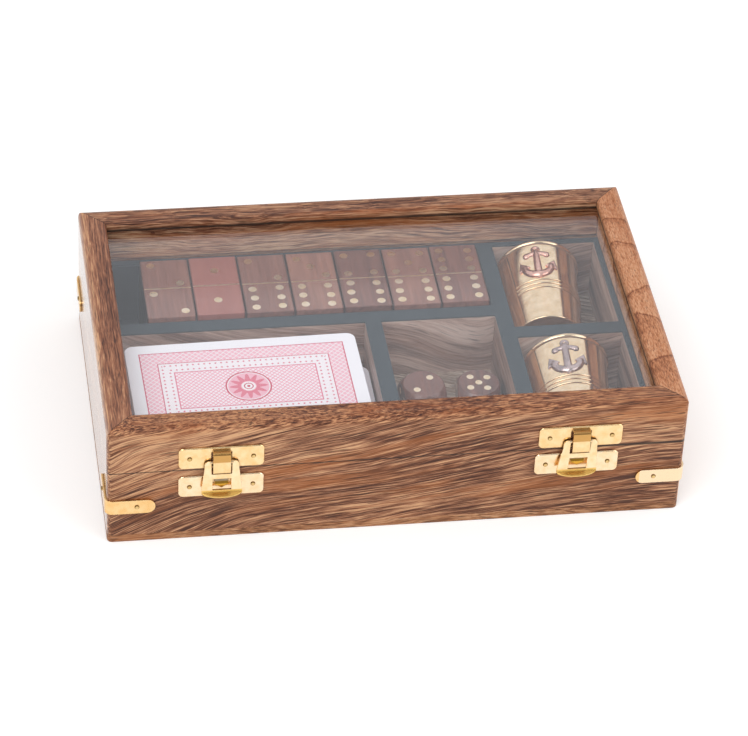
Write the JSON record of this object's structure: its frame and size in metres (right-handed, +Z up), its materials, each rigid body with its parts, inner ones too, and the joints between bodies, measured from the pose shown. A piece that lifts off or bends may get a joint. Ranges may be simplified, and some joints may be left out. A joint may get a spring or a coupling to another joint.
{
  "type": "games compendium box",
  "caption": "Glazed wooden games box with hinged lid, brass latches and corner straps, holding dominoes, card decks, dice and two brass cups in a felt-rimmed tray.",
  "frame": {"origin": "under the middle of the whole object, fittings included, on the surface that it stands on", "axes": "+X along the length to the right, +Y from the latches to the hinges, +Z up"},
  "size_m": [0.2144, 0.145, 0.0515],
  "materials": {
    "case_wood": "satin lacquer",
    "bottom_wood": "satin lacquer",
    "tray_wood": "bare, sanded",
    "tray_felt": "felt",
    "liner": "smooth lining",
    "glass": "clear polished",
    "brass_fittings": "polished",
    "brass_pins": "polished",
    "brass_inlay": "flush sanded",
    "tile_wood": "satin",
    "die_wood": "satin",
    "card_stock": "smooth coated",
    "cup_brass": "polished",
    "copper": "copper plated",
    "nickel": "nickel plated"
  },
  "bodies": {
    "base": {"base_bottom": "bottom_wood", "base_front_wall": "case_wood", "base_left_wall": "case_wood", "base_rear_wall": "case_wood", "base_right_wall": "case_wood", "bay_floor_liners": "liner", "card_divider": "tray_wood", "catch_plate_nails": "brass_pins", "cup_divider": "tray_wood", "dice": "die_wood", "dice_pips": "brass_inlay", "domino_bars": "brass_inlay", "domino_bay_felt": "tray_felt", "domino_divider": "tray_wood", "domino_layer_1": "tile_wood", "domino_layer_2": "tile_wood", "domino_layer_3": "tile_wood", "domino_layer_4": "tile_wood", "domino_pips": "brass_inlay", "front_cup": "cup_brass", "front_cup_anchor": "nickel", "front_left_strap": "brass_fittings", "front_right_strap": "brass_fittings", "hinge_base_screws": "brass_pins", "left_catch_plate": "brass_fittings", "left_hinge_base_leaf": "brass_fittings", "left_hinge_pin": "brass_fittings", "lower_card_deck": "card_stock", "main_divider": "tray_wood", "rear_cup": "cup_brass", "rear_cup_anchor": "copper", "rear_left_strap": "brass_fittings", "rear_right_strap": "brass_fittings", "right_catch_plate": "brass_fittings", "right_hinge_base_leaf": "brass_fittings", "right_hinge_pin": "brass_fittings", "strap_nails": "brass_pins", "tray_front_lining": "tray_wood", "tray_left_lining": "tray_wood", "tray_rear_lining": "tray_wood", "tray_right_lining": "tray_wood", "tray_rim_felt": "tray_felt", "upper_card_deck": "card_stock"},
    "lid": {"lid_front_rail": "case_wood", "lid_rear_rail": "case_wood", "lid_left_rail": "case_wood", "lid_right_rail": "case_wood", "glass_pane": "glass", "left_hasp_plate": "brass_fittings", "right_hasp_plate": "brass_fittings", "hasp_plate_nails": "brass_pins", "left_hinge_lid_leaf": "brass_fittings", "right_hinge_lid_leaf": "brass_fittings", "hinge_lid_screws": "brass_pins"},
    "left_hasp": {"left_hasp": "brass_fittings"},
    "right_hasp": {"right_hasp": "brass_fittings"}
  },
  "joints": [
    {"name": "lid_hinge", "type": "hinge", "parent": "base", "child": "lid", "pos_m": [0, 0.07075, 0.0323], "axis": [-1, 0, 0], "range_deg": [0, 180]},
    {"name": "left_hasp_swing", "type": "hinge", "parent": "lid", "child": "left_hasp", "pos_m": [-0.0648, -0.0687, 0.0365], "axis": [-1, 0, 0], "range_deg": [0, 140]},
    {"name": "right_hasp_swing", "type": "hinge", "parent": "lid", "child": "right_hasp", "pos_m": [0.0664, -0.0687, 0.0365], "axis": [-1, 0, 0], "range_deg": [0, 140]}
  ]
}
